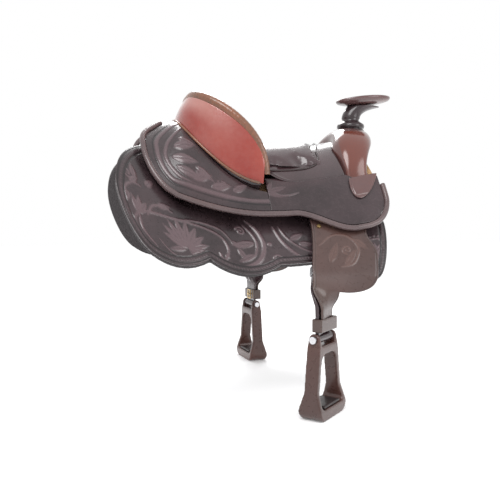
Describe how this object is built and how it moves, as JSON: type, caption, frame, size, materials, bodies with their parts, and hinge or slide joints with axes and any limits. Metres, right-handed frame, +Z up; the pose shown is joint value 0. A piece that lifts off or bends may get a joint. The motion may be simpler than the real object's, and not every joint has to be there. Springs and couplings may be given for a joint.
{
  "type": "western saddle",
  "caption": "Western saddle of carved dark leather over a wooden tree, with a dished horn, high cantle, round skirts, swinging fenders and leather-covered stirrups.",
  "frame": {"origin": "the lowest place along X of the channel's ridge line, which is the top of the space for the horse's back. It lies 325 mm ahead of the skirts' back end and 283 mm behind their front end", "axes": "+X towards the horn and the horse's head, +Y to the rider's left, +Z up"},
  "size_m": [0.7257, 0.6787, 0.7351],
  "materials": {
    "wood": "sanded, varnished",
    "steel": "satin",
    "brass": "polished",
    "foam": "soft",
    "fleece": "woolly",
    "red_leather": "glossy, dark red to orange",
    "smooth_leather": "glossy, dark brown",
    "tooled_leather": "glossy, carved and antiqued",
    "seat_leather": "glossy, padded",
    "roll_leather": "glossy, stamped, stitched",
    "fender_leather": "glossy, brown, lightly tooled",
    "stirrup_leather_cover": "glossy, brown"
  },
  "bodies": {
    "saddle": {"tree_bar_left": "wood", "tree_bar_right": "wood", "fork": "wood", "cantle_board": "wood", "horn_core": "steel", "horn_cap_cover": "red_leather", "horn_neck_wrap": "smooth_leather", "horn_bolts": "steel", "ground_seat": "steel", "seat_foam": "foam", "seat_cover": "seat_leather", "cantle_back": "red_leather", "cantle_roll": "roll_leather", "fork_cover": "red_leather", "fork_flap_left": "red_leather", "fork_flap_right": "red_leather", "gullet_liner": "seat_leather", "side_jockey_left": "smooth_leather", "side_jockey_right": "smooth_leather", "rear_jockey_left": "tooled_leather", "rear_jockey_right": "tooled_leather", "jockey_binding_left": "smooth_leather", "jockey_binding_right": "smooth_leather", "skirt_left": "tooled_leather", "skirt_right": "tooled_leather", "skirt_lining_left": "fleece", "skirt_lining_right": "fleece", "rigging_plate_left": "steel", "rigging_plate_right": "steel", "rigging_rivets_left": "brass", "rigging_rivets_right": "brass", "leather_loop_left": "smooth_leather", "leather_loop_right": "smooth_leather"},
    "fender_right": {"stirrup_leather_right": "smooth_leather", "fender_right": "fender_leather", "fender_rivets_right": "brass", "buckle_plate_right": "steel", "hobble_strap_right": "fender_leather", "hobble_buckle_right": "brass"},
    "stirrup_right": {"stirrup_frame_right": "stirrup_leather_cover", "stirrup_bolt_right": "steel", "stirrup_tread_right": "seat_leather"},
    "sleeve_right": {"buckle_sleeve_right": "steel"},
    "tongue_right": {"hobble_tongue_right": "brass"},
    "dee_right": {"rigging_dee_right": "steel"},
    "fender_left": {"stirrup_leather_left": "smooth_leather", "fender_left": "fender_leather", "fender_rivets_left": "brass", "buckle_plate_left": "steel", "hobble_strap_left": "fender_leather", "hobble_buckle_left": "brass"},
    "stirrup_left": {"stirrup_frame_left": "stirrup_leather_cover", "stirrup_bolt_left": "steel", "stirrup_tread_left": "seat_leather"},
    "sleeve_left": {"buckle_sleeve_left": "steel"},
    "tongue_left": {"hobble_tongue_left": "brass"},
    "dee_left": {"rigging_dee_left": "steel"}
  },
  "joints": [
    {"name": "fender_swing_right", "type": "hinge", "parent": "saddle", "child": "fender_right", "pos_m": [0.13493, -0.15765, -0.07614], "axis": [0, -0.8065, 0.5913], "range_deg": [-15, 12]},
    {"name": "stirrup_swing_right", "type": "hinge", "parent": "fender_right", "child": "stirrup_right", "pos_m": [0.09693, -0.277, -0.353], "axis": [0.7431, 0.6691, 0], "range_deg": [-30, 30]},
    {"name": "sleeve_slide_right", "type": "slide", "parent": "fender_right", "child": "sleeve_right", "axis": [0.2306, 0.4497, 0.8629], "range_m": [-0.006, 0.006]},
    {"name": "tongue_lift_right", "type": "hinge", "parent": "fender_right", "child": "tongue_right", "pos_m": [0.09001, -0.26931, -0.325], "axis": [0, 0, 1], "range_deg": [0, 60]},
    {"name": "dee_swing_right", "type": "hinge", "parent": "saddle", "child": "dee_right", "pos_m": [0.20116, -0.17175, -0.09115], "axis": [-0.9823, 0, -0.1873], "range_deg": [0, 5]},
    {"name": "fender_swing_left", "type": "hinge", "parent": "saddle", "child": "fender_left", "pos_m": [0.13493, 0.15765, -0.07614], "axis": [0, -0.8065, -0.5913], "range_deg": [-15, 12]},
    {"name": "stirrup_swing_left", "type": "hinge", "parent": "fender_left", "child": "stirrup_left", "pos_m": [0.09693, 0.277, -0.353], "axis": [-0.0872, 0.9962, 0], "range_deg": [-30, 30]},
    {"name": "sleeve_slide_left", "type": "slide", "parent": "fender_left", "child": "sleeve_left", "axis": [0.2306, -0.4497, 0.8629], "range_m": [-0.006, 0.006]},
    {"name": "tongue_lift_left", "type": "hinge", "parent": "fender_left", "child": "tongue_left", "pos_m": [0.08662, 0.2761, -0.325], "axis": [0, 0, -1], "range_deg": [0, 60]},
    {"name": "dee_swing_left", "type": "hinge", "parent": "saddle", "child": "dee_left", "pos_m": [0.20116, 0.17175, -0.09115], "axis": [0.9823, 0, 0.1873], "range_deg": [0, 5]}
  ]
}
